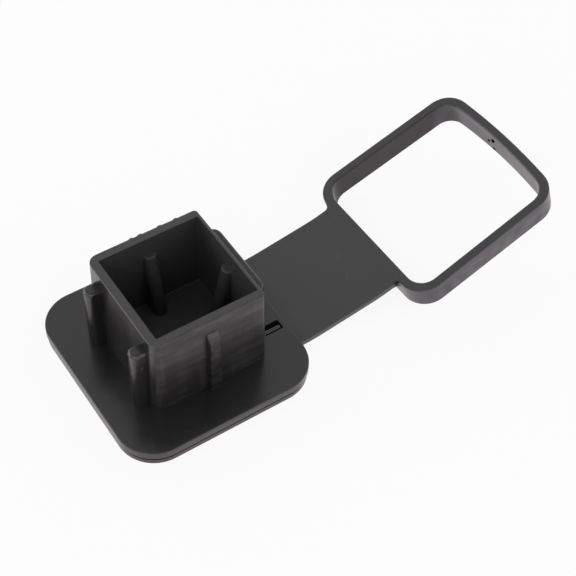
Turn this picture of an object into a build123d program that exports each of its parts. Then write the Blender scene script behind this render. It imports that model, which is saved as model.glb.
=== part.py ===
from build123d import *
import os
from math import atan, cos, radians, sin, tan

# Hitch receiver cover, moulded in one piece from rubber: a hollow square plug on a
# flange, and a strap that ends in a loop to slip over the outside of the receiver.
# Millimetres. The origin lies on the flange's flat outer face, in line with the middle
# of the plug. +Z points to the mouth of the plug and +X along the strap to the loop.

# Place of the flange, strap and loop beside the middle of the plug
strap_offset = -0.45

# Flange: a rounded plate, with a thin lip, a groove and a thick layer
flange_length = 72.9
flange_width = 76.3
flange_corner = 14.0
flange_front = 36.3
lip_thickness = 2.3
lip_inset = 0.4
groove_width = 1.2
groove_depth = 0.9
plate_thickness = 3.0
plate_edge_radius = 0.4
lip_edge_bevel = 0.4

# Plug: four drafted walls, of which the one beside the strap is thin
cavity_size = 38.2
cavity_offset = 1.9
cavity_edge_radius = 0.4
plug_height = 33.3
plug_back_corner = 4.4
plug_front_corner = 2.0
plug_draft = 1.0
back_wall = 3.1
front_wall = 1.2
side_wall = 3.2
rim_radius = 0.4

# Radius of a round nose on a rib or fin, as a share of its thickness
nose_share = 0.475

# Ribs with a round nose in the middle of each wall inside the plug, deepest at the floor
inner_rib_width = 5.2
inner_rib_proud = 1.8
inner_rib_foot = 7.6
inner_rib_height = 25.2
inner_rib_root = 2.0
inner_rib_top_radius = 0.4

# Flat ribs in the middle of the two side walls outside
side_rib_width = 4.4
side_rib_proud = 2.4
side_rib_spread = 0.25
side_rib_height = 27.4
side_rib_lead = 2.4
side_rib_edge_radius = 0.6
side_rib_offset = 1.6

# Fins with a round nose on the back wall
fin_thickness = 5.2
fin_reach = 5.2
fin_height = 27.1
fin_spacing = 30.1
fin_offset = -0.4
fin_top_radius = 1.2

# Pad on the front wall, which backs the thin wall
pad_proud = 5.0
pad_width = 32.7
pad_offset = 0.8
pad_corner = 3.5
pad_height = 27.0
pad_top_radius = 0.8

# Slots in the flange at the ends of the pad, each with a finger left standing in it
slot_width = 4.1
slot_spacing = 26.7
slot_depth = 3.7
slot_margin = 1.7
slot_end_radius = 0.5
finger_width = 1.4
finger_gap = 0.7
finger_end_gap = 0.6
finger_end_radius = 0.3
finger_top_radius = 0.4

# Strap: level with the lip at first, then pitched up twice
strap_width = 42.6
strap_thickness = 2.05
strap_reach = 46.1
low_bend = 5.8
high_bend_gap = 10.8
bend_radius = 60.0
strap_pitch = 9.5
flare_radius = 2.4
flare_end = 0.2

# Loop: a square band that stands on its lower edge beside the strap and rises from there
loop_pitch = 18.3
loop_turn = 0.95
opening_near_width = 58.4
opening_far_width = 56.3
opening_length = 58.5
opening_corner = 6.8
far_bow = 1.95
near_band = 3.4
side_band = 3.35
far_band = 3.3
band_corner = 9.6
far_height = 10.8
band_edge_radius = 0.5
band_foot_bevel = 0.4

# Places that follow from the sizes
plate_bottom = lip_thickness + groove_width
flange_top = plate_bottom + plate_thickness
flange_centre = (flange_front - flange_length / 2, strap_offset)
cavity_front = cavity_offset + cavity_size / 2
cavity_back = cavity_offset - cavity_size / 2
plug_front = cavity_front + front_wall
plug_back = cavity_back - back_wall
plug_length = plug_front - plug_back
plug_centre = (plug_front + plug_back) / 2
plug_width = cavity_size + 2 * side_wall
plug_spread = plug_height * tan(radians(plug_draft))
top_plane = Plane.XY.offset(flange_top)
flare_length = flare_radius + flare_end
strap_slope = tan(radians(strap_pitch))
loop_slope = tan(radians(loop_pitch))
high_bend = strap_reach - high_bend_gap
high_bend_rise = lip_thickness + (high_bend - low_bend) * strap_slope
loop_rise = high_bend_rise + high_bend_gap * loop_slope

# The upper face of the loop, with its origin in the middle of the opening's near edge
loop_plane = Plane(
    origin=(flange_front + strap_reach, strap_offset, loop_rise),
    x_dir=(cos(radians(loop_pitch)), 0, sin(radians(loop_pitch))),
    z_dir=(-sin(radians(loop_pitch)), 0, cos(radians(loop_pitch))),
).rotated((0, 0, loop_turn))

# The near end of the band reaches down to the level of the flange's outer face
near_edge = loop_plane.from_local_coords((-near_band, 0, 0))
near_height = near_edge.Z / cos(radians(loop_pitch))
fall = atan((far_height - near_height) / (near_band + opening_length + far_band))
foot_plane = Plane(
    origin=loop_plane.from_local_coords((-near_band, 0, -near_height)),
    x_dir=(cos(radians(loop_pitch) - fall), 0, sin(radians(loop_pitch) - fall)),
    z_dir=(-sin(radians(loop_pitch) - fall), 0, cos(radians(loop_pitch) - fall)),
)


def loop_outline(near, far, side, corner):
    """The outline of the loop's opening, grown by the walls given."""
    end = opening_length + far
    near_half = opening_near_width / 2 + side
    far_half = opening_far_width / 2 + side
    with BuildSketch(loop_plane) as outline:
        with BuildLine():
            Polyline((end, -far_half), (-near, -near_half), (-near, near_half), (end, far_half))
            ThreePointArc((end, far_half), (end + far_bow, 0), (end, -far_half))
        make_face()
        fillet(outline.vertices(), radius=corner)
    return outline.sketch


with BuildPart() as loop:
    extrude(loop_outline(near_band, far_band, side_band, band_corner), amount=-2 * far_height)
    extrude(loop_outline(0, 0, 0, opening_corner), amount=-2 * far_height, mode=Mode.SUBTRACT)
    split(bisect_by=foot_plane, keep=Keep.TOP)
    foot_and_top = loop.faces().filter_by(lambda face: len(face.inner_wires()) == 1).sort_by(Axis.Z)
    fillet(foot_and_top[-1].edges(), radius=band_edge_radius)
    chamfer(foot_and_top[0].edges(), length=band_foot_bevel)

with BuildPart() as side_ribs:
    # A flat rib in the middle of each side wall, with a lead-in at the top
    with BuildSketch(Plane.YZ.offset(side_rib_offset)):
        with BuildLine():
            reach = plug_width / 2 + side_rib_proud
            shoulder = flange_top + side_rib_height - side_rib_lead
            Polyline(
                (-reach - side_rib_spread, flange_top),
                (-reach, shoulder),
                (-reach + side_rib_lead, shoulder + side_rib_lead),
                (reach - side_rib_lead, shoulder + side_rib_lead),
                (reach, shoulder),
                (reach + side_rib_spread, flange_top),
                close=True,
            )
        make_face()
    extrude(amount=side_rib_width / 2, both=True)
    outer_edges = side_ribs.edges().filter_by(lambda edge: abs(edge.center().Y) > reach - side_rib_lead)
    fillet(outer_edges.filter_by(lambda edge: edge.center().Z > flange_top), radius=side_rib_edge_radius)

with BuildPart() as fins:
    # A fin with a round nose at each end of the back wall
    with BuildSketch(top_plane) as fin_outlines:
        for side in (-1, 1):
            with Locations((plug_back - fin_reach, fin_offset + side * fin_spacing / 2)):
                Rectangle(fin_reach + back_wall / 2, fin_thickness, align=(Align.MIN, Align.CENTER))
        fillet(fin_outlines.vertices().group_by(Axis.X)[0], radius=nose_share * fin_thickness)
    extrude(amount=fin_height)
    fillet(fins.edges().group_by(Axis.Z)[-1], radius=fin_top_radius)

with BuildPart() as pad:
    with BuildSketch(top_plane) as pad_outline:
        with Locations((plug_front + pad_proud, pad_offset)):
            Rectangle(pad_proud + front_wall / 2, pad_width, align=(Align.MAX, Align.CENTER))
        fillet(pad_outline.vertices().group_by(Axis.X)[-1], radius=pad_corner)
    extrude(amount=pad_height)
    fillet(pad.edges().group_by(Axis.Z)[-1].sort_by(Axis.X)[1:], radius=pad_top_radius)

with BuildPart() as cavity:
    with BuildSketch(top_plane):
        with Locations((cavity_offset, 0)):
            Rectangle(cavity_size, cavity_size)
    extrude(amount=plug_height)
    fillet(cavity.edges() - cavity.edges().group_by(Axis.Z)[-1], radius=cavity_edge_radius)

with BuildPart() as inner_rib:
    # The side view of a rib beside a wall on the +X side
    with BuildSketch(Plane.XZ):
        with BuildLine():
            wall = cavity_size / 2
            Polyline(
                (wall - inner_rib_foot, 0),
                (wall - inner_rib_proud, inner_rib_height),
                (wall + inner_rib_root, inner_rib_height),
                (wall + inner_rib_root, 0),
                close=True,
            )
        make_face()
    extrude(amount=inner_rib_width / 2, both=True)
    upright_edges = inner_rib.edges().group_by(Axis.Z)[1]
    fillet(upright_edges.group_by(Axis.X)[0], radius=nose_share * inner_rib_width)
    fillet(inner_rib.edges().group_by(Axis.Z)[-1].sort_by(Axis.X)[:-1], radius=inner_rib_top_radius)

with BuildPart() as finger:
    # The finger of the slot on the +Y side
    slot_length = flange_front - slot_margin - plug_front - pad_proud
    with BuildSketch(top_plane) as finger_outline:
        finger_place = slot_spacing / 2 + slot_width / 2 - finger_gap - finger_width / 2
        with Locations((plug_front + pad_proud, finger_place)):
            Rectangle(slot_length - finger_end_gap, finger_width, align=(Align.MIN, Align.CENTER))
        fillet(finger_outline.vertices().group_by(Axis.X)[-1], radius=finger_end_radius)
    extrude(amount=-slot_depth)
    fillet(finger.edges().group_by(Axis.Z)[-1].sort_by(Axis.X)[1:], radius=finger_top_radius)

with BuildPart() as receiver_cover:
    # Flange
    with BuildSketch():
        with Locations(flange_centre):
            RectangleRounded(
                flange_length - 2 * lip_inset, flange_width - 2 * lip_inset, flange_corner - lip_inset
            )
    extrude(amount=lip_thickness)
    chamfer(receiver_cover.edges().group_by(Axis.Z)[0], length=lip_edge_bevel)
    with BuildSketch(Plane.XY.offset(lip_thickness)):
        with Locations(flange_centre):
            RectangleRounded(
                flange_length - 2 * groove_depth, flange_width - 2 * groove_depth, flange_corner - groove_depth
            )
    extrude(amount=groove_width)
    with BuildSketch(Plane.XY.offset(plate_bottom)):
        with Locations(flange_centre):
            RectangleRounded(flange_length, flange_width, flange_corner)
    extrude(amount=plate_thickness)
    fillet(receiver_cover.edges().group_by(Axis.Z)[-1], radius=plate_edge_radius)

    # Walls of the plug, drafted so that they are widest at the flange
    with BuildSketch(top_plane) as plug_outline:
        with Locations((plug_centre, 0)):
            Rectangle(plug_length + 2 * plug_spread, plug_width + 2 * plug_spread)
        fillet(plug_outline.vertices().group_by(Axis.X)[0], radius=plug_back_corner)
        fillet(plug_outline.vertices().group_by(Axis.X)[-1], radius=plug_front_corner)
    extrude(amount=plug_height, taper=plug_draft)
    fillet(receiver_cover.edges().group_by(Axis.Z)[-1], radius=rim_radius)

    # Outer ribs, fins and pad
    add(side_ribs.part)
    add(fins.part)
    add(pad.part)

    # Cavity of the plug, with a rib in the middle of each wall
    add(cavity.part, mode=Mode.SUBTRACT)
    with Locations((cavity_offset, 0, flange_top)):
        with PolarLocations(0, 4):
            add(inner_rib.part)

    # Slots in the flange, and the finger in each
    for side in (-1, 1):
        with BuildSketch(top_plane) as slot:
            with Locations((plug_front + pad_proud, side * slot_spacing / 2)):
                Rectangle(slot_length, slot_width, align=(Align.MIN, Align.CENTER))
            fillet(slot.vertices().group_by(Axis.X)[-1], radius=slot_end_radius)
        extrude(amount=-slot_depth, mode=Mode.SUBTRACT)
    add(finger.part)
    add(mirror(finger.part, about=Plane.XZ, mode=Mode.PRIVATE))

    # Strap
    with BuildSketch(Plane.XZ.offset(-strap_offset)):
        with BuildLine():
            strap_end = loop_plane.from_local_coords((-near_band / 2, 0, 0))
            FilletPolyline(
                (flange_front - groove_depth, lip_thickness),
                (flange_front + low_bend, lip_thickness),
                (flange_front + high_bend, high_bend_rise),
                (strap_end.X, strap_end.Z),
                radius=bend_radius,
            )
            offset(amount=strap_thickness, side=Side.RIGHT)
        make_face()
    extrude(amount=strap_width / 2, both=True)

    # Flares where the strap meets the loop
    with BuildSketch(loop_plane) as flares:
        with Locations((-near_band, 0)):
            Rectangle(flare_length, strap_width, align=(Align.MAX, Align.CENTER))
            Rectangle(near_band / 2, strap_width + 2 * flare_length, align=(Align.MIN, Align.CENTER))
        hollow_corners = flares.vertices().group_by(Axis.X)[1].sort_by(Axis.Y)[1:3]
        fillet(hollow_corners, radius=flare_radius)
    extrude(amount=-strap_thickness)

    add(loop.part)

receiver_cover.part.label = "receiver_cover"
os.makedirs("parts", exist_ok=True)
export_step(receiver_cover.part, "parts/receiver_cover.step")
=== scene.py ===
import math

import bmesh
import bpy
from mathutils import Matrix, Vector


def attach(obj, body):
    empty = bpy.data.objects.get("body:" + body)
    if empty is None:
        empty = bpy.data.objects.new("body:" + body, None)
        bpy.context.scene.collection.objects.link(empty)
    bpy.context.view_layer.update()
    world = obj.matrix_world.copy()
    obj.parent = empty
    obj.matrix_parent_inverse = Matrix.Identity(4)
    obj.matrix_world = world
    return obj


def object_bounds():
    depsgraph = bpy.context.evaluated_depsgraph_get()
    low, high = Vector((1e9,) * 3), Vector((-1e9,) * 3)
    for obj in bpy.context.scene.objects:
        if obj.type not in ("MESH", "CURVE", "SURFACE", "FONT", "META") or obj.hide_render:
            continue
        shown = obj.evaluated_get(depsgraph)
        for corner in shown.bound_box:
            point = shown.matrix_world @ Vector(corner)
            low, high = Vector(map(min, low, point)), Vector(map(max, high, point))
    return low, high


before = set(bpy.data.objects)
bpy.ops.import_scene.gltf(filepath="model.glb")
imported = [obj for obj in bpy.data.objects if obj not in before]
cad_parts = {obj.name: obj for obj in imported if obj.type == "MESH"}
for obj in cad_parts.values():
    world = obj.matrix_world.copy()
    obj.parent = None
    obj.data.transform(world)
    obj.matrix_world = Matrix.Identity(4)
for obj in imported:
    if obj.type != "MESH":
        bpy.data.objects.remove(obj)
cad_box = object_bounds()
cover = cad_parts["receiver_cover"]

MM = 0.001
WHITE = (1.0, 1.0, 1.0, 1.0)

# Camera: the photograph's viewpoint, in metres in the part's frame
CAMERA_PLACE = Vector((-0.13714, -0.25774, 0.38918))
CAMERA_AIM = Vector((0.04867, 0.00281, 0.0003))
CAMERA_ROLL = math.radians(2.73)
CAMERA_CLIP = (0.01, 10.0)
LENS_MM = 86.48
SENSOR_MM = 36.0

# Light tent: the strength of its sides and its roof, and the rise of the direction
# (its Z) at which the sides end and the roof begins
SIDE_LIGHT = 1.30
ROOF_LIGHT = 0.50
SIDE_END = 0.45
ROOF_START = 0.72

# Lamps: name, direction from the part, distance, width and height in metres, radiance
LAMP_AIM = Vector((0.04, 0.0, 0.01))
LAMPS = (
    ("back_left", (-0.77, 0.52, 0.37), 0.9, (0.30, 0.30), 4.0),
    ("front_left", (-0.62, -0.47, 0.62), 0.9, (0.20, 0.20), 4.0),
    ("front_right", (0.37, -0.77, 0.52), 0.9, (0.30, 0.20), 2.0),
    ("overhead", (0.02, 0.50, 0.86), 1.0, (0.50, 0.50), 0.25),
    ("beyond_strap", (0.50, 0.36, 0.79), 1.0, (0.40, 0.40), 0.22),
)

# Floor: half its width and its gap below the part in metres, its paint, and the
# share and tint of the plain white that the camera and the reflections see in it
FLOOR_HALF = 2.5
FLOOR_GAP = 0.0001
FLOOR_PAINT = (0.9, 0.9, 0.9, 1.0)
FLOOR_GLOW_SHARE = 0.9
FLOOR_GLOSSY_TINT = (1.0, 0.90, 0.97, 1.0)

# Places on the part, in mm
FLANGE_TOP = 6.5
FLANGE_FRONT = 36.3
RIM_HEIGHT = cad_box[1][2] / MM
RIM_EDGE_Y = 22.3
CAVITY_MIDDLE_X = 1.9
CAVITY_HALF = 19.5
PLUG_HALF = 24.5
SIDE_WALL_Y = 21.5
LOOP_PITCH = math.radians(18.3)
LOOP_UP = (-math.sin(LOOP_PITCH), 0.0, math.cos(LOOP_PITCH))
LOOP_TOP = -18.9

# Edges of the finish's zones, in mm: a zone is 0 at the first place and 1 at the second
ABOVE_FLANGE = (FLANGE_TOP + 0.1, FLANGE_TOP + 0.6)
CAVITY_FOOT = (FLANGE_TOP + 0.7, FLANGE_TOP + 0.3)
WALL_FOOT = (16.0, 11.0)
BELOW_RIM = (RIM_HEIGHT - 0.3, RIM_HEIGHT - 0.6)
SIDE_WALL = (SIDE_WALL_Y - 0.3, SIDE_WALL_Y)
SIDE_RIB = (23.3, 23.9)
STRAP_START = (FLANGE_FRONT, FLANGE_FRONT + 0.5)
LOOP_START = (84.0, 88.0)
LOOP_FAR_END = (136.0, 138.0)
BEFORE_FAR_END = (137.0, 130.0)
LOOP_SIDES = (LOOP_TOP + 0.1, LOOP_TOP - 0.3)
MINUS_Y_SIDE = (-28.5, -29.5)
MINUS_Y_CORNER = (106.0, 92.0)

# Strips of the finish, in mm: middle, half width, softness of the edges
CAVITY_X = (CAVITY_MIDDLE_X, CAVITY_HALF, 0.2)
CAVITY_Y = (0.0, CAVITY_HALF, 0.2)
PLUG_X = (CAVITY_MIDDLE_X, PLUG_HALF, 0.5)
# The floor edge strip is a painted glint along the foot of the cavity's far wall
FLOOR_EDGE_GLINT_Y = (CAVITY_HALF - 0.6, 0.45, 0.2)
PLUS_Y_BAND = (27.0, 2.0, 0.1)

# Marks that the photo shows, in mm. Lines: centre, direction, half length, half width
# The pits are sunk in the relief and carry painted shade
PIT_RUN = (0.259, 0.489, -0.783)
PITS = (
    ((140.95, 4.5, 25.9), PIT_RUN, 1.8, 1.0),
    ((141.6, 7.2, 23.6), PIT_RUN, 1.1, 0.7),
    ((142.8, 4.9, 20.3), PIT_RUN, 1.5, 0.9),
)
STRAP_LINES = (
    ((67.0, -7.6, 6.5), (-2.0, -4.1, -0.35), 2.6, 0.22),
    ((69.4, 1.4, 6.9), (-3.0, -4.3, -0.6), 2.6, 0.18),
)
FIN_LINES = (
    ((-23.3, -17.8, 26.3), (2.6, -0.65, 1.05), 1.9, 0.28),
    ((-23.3, -17.8, 25.5), (2.6, -0.65, 1.05), 1.9, 0.16),
)
# Spots: centre, radius
# The crease is painted shade in the hollow where the strap's flare meets the loop's near band
CREASE_SHADE = ((78.6, -22.0, 9.0), 1.3)
CREASE_SHADE_STRENGTH = 0.45
FAR_GLARE = ((142.0, -12.0, 22.0), 19.0)
# Shares of a mark's radius, half length and half width at which it starts to fade
SPOT_CORE = 0.4
LINE_CORE_LENGTH = 0.5
LINE_CORE_WIDTH = 0.3

# Rubber: linear colours, and the values that its layers start from
RUBBER_DARK = (0.0100, 0.0090, 0.0096, 1.0)
RUBBER_LIGHT = (0.0140, 0.0127, 0.0136, 1.0)
# Pale colour: dust and pale tone in the rubber, and painted light on the rim, cavity, strap and
# loop and at the cavity floor's far edge
PALE_DUST_AND_PAINTED_LIGHT = (0.040, 0.0375, 0.039, 1.0)
# Near-black for the painted shade in the pits and the crease
PAINTED_PIT_AND_CREASE_SHADE = (0.002, 0.002, 0.002, 1.0)
RUBBER_IOR = 1.62
START_ROUGHNESS = 0.17
START_GLOSS = 0.5

# Textures of the rubber: noise scale, detail, stretch of the place
EVEN = (1.0, 1.0, 1.0)
TEXTURES = {
    "blotches": (70.0, 3.0, EVEN),
    "streaks": (380.0, 2.0, (1.0, 1.0, 0.08)),
    "smears": (150.0, 3.0, (0.35, 0.35, 2.2)),
    "grain": (1500.0, 2.0, EVEN),
    "waves": (45.0, 1.0, EVEN),
    "mottle": (240.0, 3.0, EVEN),
}
MOTTLE_CONTRAST = (0.35, 0.65)

# Layers: a field and how much of it is added, then a texture and how much it adds to that
# Paleness: painted light on the rim, the cavity, the strap and, a little less, the loop; on the
# wall, pale tone that follows the streaks and smears; the pale lines; and a painted glint at
# the cavity floor's far edge
PALENESS = (
    ("rim", 0.55),
    ("cavity", 0.9),
    ("wall", -1.35, "streaks", 1.2),
    ("wall", 0.0, "smears", 1.6),
    ("strap", 0.55),
    ("loop", -0.12),
    ("lines", 0.8),
    ("floor_edge_glint", 2.5),
)
ROUGHNESS = (
    ("blotches", 0.08),
    ("streaks", 0.08),
    ("rim", 0.12),
    ("cavity", 0.16),
    ("wall", 0.08),
    ("plus_y_band", 0.18),
)
# Less gloss at the wall's foot and on the +Y band inside the loop is painted shade, far_glare
# adds a painted reflection, and dark takes the sheen out of the painted shade in the pits and
# the crease
GLOSS = (
    ("plus_y_band", -0.24),
    ("far_end", -0.12),
    ("far_glare", 0.12, "mottle", 0.30),
    ("wall_foot", -0.12),
    ("side_rib", -0.27, "mottle", 0.20),
    ("minus_y_side", -0.08, "mottle", 0.30),
    ("wall", -0.30, "smears", 0.5),
    ("cavity", -0.10),
    ("minus_y_corner", -0.12),
    ("dark", -1.0),
)
RELIEF_MM = (
    ("grain", 0.004),
    ("streaks", 0.020),
    ("smears", 0.040),
    ("waves", 0.20),
    ("dark", -0.25),
    ("lines", 0.04),
)

# Flash on the rim's far edge, in mm: middle and length of each lump along X
RIM_FLASH = ((-3.2, 1.7), (0.2, 1.9), (7.8, 2.0), (14.0, 1.6))
FLASH_PROUD = 0.32
FLASH_SUNK = 0.1
FLASH_HEIGHT = 0.5
FLASH_SUBDIVISIONS = 3


def link(thing):
    bpy.context.scene.collection.objects.link(thing)


def facing(place, aim):
    """The placement of a camera or lamp that stands at the place and faces the aim."""
    turn = (aim - place).to_track_quat("-Z", "Y").to_matrix().to_4x4()
    return Matrix.Translation(place) @ turn


def add_camera():
    data = bpy.data.cameras.new("camera")
    data.lens = LENS_MM
    data.sensor_width = SENSOR_MM
    data.clip_start, data.clip_end = CAMERA_CLIP
    camera = bpy.data.objects.new("camera", data)
    roll = Matrix.Rotation(CAMERA_ROLL, 4, "Z")
    camera.matrix_world = facing(CAMERA_PLACE, CAMERA_AIM) @ roll
    link(camera)
    bpy.context.scene.camera = camera


def add_softbox(name, direction, distance, size, radiance):
    """A rectangular lamp that faces the part from the direction given."""
    data = bpy.data.lights.new(name, "AREA")
    data.shape = "RECTANGLE"
    data.size, data.size_y = size
    data.energy = radiance * math.pi * size[0] * size[1]
    light = bpy.data.objects.new(name, data)
    place = LAMP_AIM + Vector(direction).normalized() * distance
    light.matrix_world = facing(place, LAMP_AIM)
    link(light)


def node(tree, kind, inputs=None, **settings):
    """A shader node; an input is a value, or the output socket that feeds it."""
    made = tree.nodes.new(kind)
    for name, value in settings.items():
        setattr(made, name, value)
    for name, value in (inputs or {}).items():
        if isinstance(value, bpy.types.NodeSocket):
            tree.links.new(value, made.inputs[name])
        else:
            made.inputs[name].default_value = value
    return made


def maths(tree, operation, first, second=0.0, third=0.0):
    inputs = {0: first, 1: second, 2: third}
    return node(tree, "ShaderNodeMath", inputs, operation=operation).outputs[0]


def vector(tree, operation, first, second):
    made = node(tree, "ShaderNodeVectorMath", {0: first, 1: second}, operation=operation)
    gives_number = operation in ("DISTANCE", "DOT_PRODUCT")
    return made.outputs["Value" if gives_number else "Vector"]


def mix_colours(tree, factor, first, second):
    """The first colour where the factor is 0, and the second where it is 1."""
    inputs = {"Factor": factor, 6: first, 7: second}
    return node(tree, "ShaderNodeMix", inputs, data_type="RGBA").outputs[2]


def mix_shaders(tree, factor, first, second):
    inputs = {0: factor, 1: first.outputs[0], 2: second.outputs[0]}
    return node(tree, "ShaderNodeMixShader", inputs).outputs[0]


def product(tree, first, *others):
    for other in others:
        first = maths(tree, "MULTIPLY", first, other)
    return first


def largest(tree, values):
    result = values[0]
    for value in values[1:]:
        result = maths(tree, "MAXIMUM", result, value)
    return result


def ramp(tree, value, start, end, start_result=0.0, end_result=1.0):
    """A smooth change between two results; the start may lie above the end."""
    inputs = {
        "Value": value,
        "From Min": start,
        "From Max": end,
        "To Min": start_result,
        "To Max": end_result,
    }
    made = node(tree, "ShaderNodeMapRange", inputs, interpolation_type="SMOOTHSTEP")
    return made.outputs["Result"]


def fade(tree, value, edge_mm):
    """0 at the edge's first place and 1 at its second."""
    start, end = edge_mm
    return ramp(tree, value, start * MM, end * MM)


def inside(tree, value, strip_mm):
    """1 within the strip, and 0 beyond it."""
    middle, half, soft = strip_mm
    away = maths(tree, "ABSOLUTE", maths(tree, "SUBTRACT", value, middle * MM))
    return fade(tree, away, (half + soft, half - soft))


def spot(tree, place, centre_mm, radius_mm):
    """1 in the core of a ball around the centre, fading to 0 at the radius."""
    away = vector(tree, "DISTANCE", place, tuple(Vector(centre_mm) * MM))
    return fade(tree, away, (radius_mm, SPOT_CORE * radius_mm))


def line(tree, place, centre_mm, direction, half_length_mm, half_width_mm):
    """1 along a short thin line through the centre, fading to 0 around it."""
    centre = tuple(Vector(centre_mm) * MM)
    along = tuple(Vector(direction).normalized())
    away = vector(tree, "DISTANCE", place, centre)
    run = vector(tree, "DOT_PRODUCT", vector(tree, "SUBTRACT", place, centre), along)
    across_squared = maths(tree, "SUBTRACT", product(tree, away, away), product(tree, run, run))
    across = maths(tree, "SQRT", across_squared)
    run = maths(tree, "ABSOLUTE", run)
    in_length = fade(tree, run, (half_length_mm, LINE_CORE_LENGTH * half_length_mm))
    in_width = fade(tree, across, (half_width_mm, LINE_CORE_WIDTH * half_width_mm))
    return product(tree, in_length, in_width)


def add_world():
    """A tent of light around the part, which the camera sees as plain white."""
    world = bpy.data.worlds.new("studio")
    bpy.context.scene.world = world
    world.use_nodes = True
    tree = world.node_tree
    tree.nodes.clear()
    direction = node(tree, "ShaderNodeTexCoord").outputs["Generated"]
    rise = node(tree, "ShaderNodeSeparateXYZ", {0: direction}).outputs["Z"]
    tent = ramp(tree, rise, SIDE_END, ROOF_START, SIDE_LIGHT, ROOF_LIGHT)
    lit = node(tree, "ShaderNodeBackground", {"Color": WHITE, "Strength": tent})
    seen = node(tree, "ShaderNodeBackground", {"Color": WHITE, "Strength": 1.0})
    camera_ray = node(tree, "ShaderNodeLightPath").outputs["Is Camera Ray"]
    surface = mix_shaders(tree, camera_ray, lit, seen)
    node(tree, "ShaderNodeOutputWorld", {"Surface": surface})


def floor_material():
    """White paint, which the camera and the reflections see mostly as plain white."""
    material = bpy.data.materials.new("white_floor")
    material.use_nodes = True
    tree = material.node_tree
    tree.nodes.clear()
    path = node(tree, "ShaderNodeLightPath").outputs
    seen = maths(tree, "MAXIMUM", path["Is Camera Ray"], path["Is Glossy Ray"])
    tint = mix_colours(tree, path["Is Glossy Ray"], WHITE, FLOOR_GLOSSY_TINT)
    paint = node(tree, "ShaderNodeBsdfDiffuse", {"Color": FLOOR_PAINT})
    glow = node(tree, "ShaderNodeEmission", {"Color": tint, "Strength": 1.0})
    surface = mix_shaders(tree, product(tree, seen, FLOOR_GLOW_SHARE), paint, glow)
    node(tree, "ShaderNodeOutputMaterial", {"Surface": surface})
    return material


def add_floor():
    signs = ((-1, -1), (1, -1), (1, 1), (-1, 1))
    corners = [(FLOOR_HALF * along, FLOOR_HALF * across, 0.0) for along, across in signs]
    mesh = bpy.data.meshes.new("floor")
    mesh.from_pydata(corners, [], [(0, 1, 2, 3)])
    mesh.materials.append(floor_material())
    floor = bpy.data.objects.new("floor", mesh)
    floor.location.z = cad_box[0][2] - FLOOR_GAP
    link(floor)


def textures(tree, place):
    fields = {}
    for name, (scale, detail, stretch) in TEXTURES.items():
        spread = vector(tree, "MULTIPLY", place, stretch)
        inputs = {"Vector": spread, "Scale": scale, "Detail": detail}
        fields[name] = node(tree, "ShaderNodeTexNoise", inputs).outputs["Fac"]
    fields["mottle"] = ramp(tree, fields["mottle"], *MOTTLE_CONTRAST)
    return fields


def plug_zones(tree, x, y, height):
    """Where the parts of the plug lie: 1 inside each, 0 outside."""
    from_middle = maths(tree, "ABSOLUTE", y)
    below_rim = fade(tree, height, BELOW_RIM)
    along_cavity = inside(tree, x, CAVITY_X)
    above_flange = fade(tree, height, ABOVE_FLANGE)
    side_wall = fade(tree, from_middle, SIDE_WALL)
    cavity_foot = fade(tree, height, CAVITY_FOOT)
    wall = product(tree, inside(tree, x, PLUG_X), above_flange, side_wall)
    return {
        "rim": maths(tree, "SUBTRACT", 1.0, below_rim),
        "cavity": product(tree, inside(tree, y, CAVITY_Y), along_cavity, below_rim),
        # Painted glint along the foot of the cavity's far wall
        "floor_edge_glint": product(tree, cavity_foot, inside(tree, y, FLOOR_EDGE_GLINT_Y), along_cavity),
        "wall": wall,
        "wall_foot": product(tree, wall, fade(tree, height, WALL_FOOT)),
        "side_rib": product(tree, wall, fade(tree, from_middle, SIDE_RIB)),
    }


def loop_zones(tree, place, x, y):
    """Where the strap and the parts of the loop lie: 1 inside each, 0 outside."""
    loop = fade(tree, x, LOOP_START)
    below_top = fade(tree, vector(tree, "DOT_PRODUCT", place, LOOP_UP), LOOP_SIDES)
    minus_y_side = product(tree, fade(tree, y, MINUS_Y_SIDE), below_top)
    before_far_end = fade(tree, x, BEFORE_FAR_END)
    return {
        "strap": fade(tree, x, STRAP_START),
        "loop": loop,
        "plus_y_band": product(tree, loop, before_far_end, inside(tree, y, PLUS_Y_BAND)),
        "far_end": product(tree, fade(tree, x, LOOP_FAR_END), below_top),
        "far_glare": product(tree, spot(tree, place, *FAR_GLARE), below_top),
        "minus_y_side": minus_y_side,
        "minus_y_corner": product(tree, minus_y_side, fade(tree, x, MINUS_Y_CORNER)),
    }


def marks(tree, place):
    """Pits and crease with painted shade, and the light lines."""
    crease = product(tree, spot(tree, place, *CREASE_SHADE), CREASE_SHADE_STRENGTH)
    return {
        "dark": largest(tree, [line(tree, place, *pit) for pit in PITS] + [crease]),
        "lines": largest(tree, [line(tree, place, *mark) for mark in STRAP_LINES + FIN_LINES]),
    }


def layered(tree, fields, start, layers):
    """The start value plus each layer's field times its amount."""
    result = start
    for name, amount, *variation in layers:
        if variation:
            texture, share = variation
            amount = maths(tree, "MULTIPLY_ADD", fields[texture], share, amount)
        result = maths(tree, "MULTIPLY_ADD", fields[name], amount, result)
    return result


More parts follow.
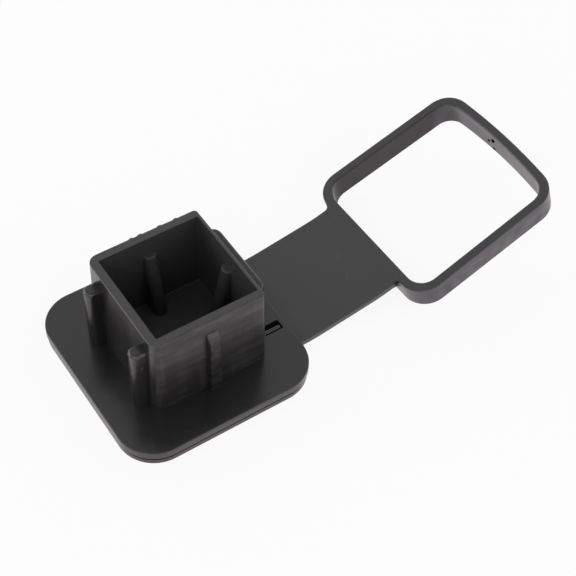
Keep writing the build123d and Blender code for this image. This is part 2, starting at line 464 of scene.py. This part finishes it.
def rubber_material():
    """Satin black rubber as it leaves the mould: blotchy sheen, fine grain, flow streaks; with
    painted light on the rim, cavity, strap and loop, a painted glint at the cavity floor's far
    edge, and painted shade in the pits and the crease.
    """
    material = bpy.data.materials.new("black_rubber")
    material.use_nodes = True
    tree = material.node_tree
    place = node(tree, "ShaderNodeTexCoord").outputs["Object"]
    x, y, height = node(tree, "ShaderNodeSeparateXYZ", {0: place}).outputs
    fields = {
        **textures(tree, place),
        **plug_zones(tree, x, y, height),
        **loop_zones(tree, place, x, y),
        **marks(tree, place),
    }

    colour = mix_colours(tree, fields["blotches"], RUBBER_DARK, RUBBER_LIGHT)
    # Pale tone and dust, and painted light on the rim, cavity, strap and loop and at the
    # floor's edge
    colour = mix_colours(tree, layered(tree, fields, 0.0, PALENESS), colour, PALE_DUST_AND_PAINTED_LIGHT)
    # Painted shade in the pits and the crease
    colour = mix_colours(tree, fields["dark"], colour, PAINTED_PIT_AND_CREASE_SHADE)
    roughness = layered(tree, fields, START_ROUGHNESS, ROUGHNESS)
    gloss = maths(tree, "MAXIMUM", layered(tree, fields, START_GLOSS, GLOSS), 0.0)
    relief = product(tree, layered(tree, fields, 0.0, RELIEF_MM), MM)
    bump = node(tree, "ShaderNodeBump", {"Strength": 1.0, "Distance": 1.0, "Height": relief})

    shader = tree.nodes["Principled BSDF"].inputs
    shader["IOR"].default_value = RUBBER_IOR
    tree.links.new(colour, shader["Base Color"])
    tree.links.new(roughness, shader["Roughness"])
    tree.links.new(gloss, shader["Specular IOR Level"])
    tree.links.new(bump.outputs[0], shader["Normal"])
    return material


def add_flash(rubber):
    """Small lumps of flash that stand out from the far edge of the rim."""
    shape = bmesh.new()
    for middle, length in RIM_FLASH:
        centre = Vector((middle, RIM_EDGE_Y - FLASH_SUNK, RIM_HEIGHT - FLASH_HEIGHT / 2))
        half = Vector((length / 2, FLASH_PROUD + FLASH_SUNK, FLASH_HEIGHT / 2))
        placed = Matrix.Translation(centre * MM) @ Matrix.Diagonal(half * MM).to_4x4()
        bmesh.ops.create_icosphere(
            shape, subdivisions=FLASH_SUBDIVISIONS, radius=1.0, matrix=placed
        )
    for face in shape.faces:
        face.smooth = True
    mesh = bpy.data.meshes.new("rim_flash")
    shape.to_mesh(mesh)
    shape.free()
    mesh.materials.append(rubber)
    flash = bpy.data.objects.new("rim_flash", mesh)
    link(flash)
    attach(flash, "root")


add_camera()
add_world()
for lamp in LAMPS:
    add_softbox(*lamp)
add_floor()
rubber = rubber_material()
cover.data.materials.clear()
cover.data.materials.append(rubber)
add_flash(rubber)
bpy.context.scene.view_settings.view_transform = "Standard"
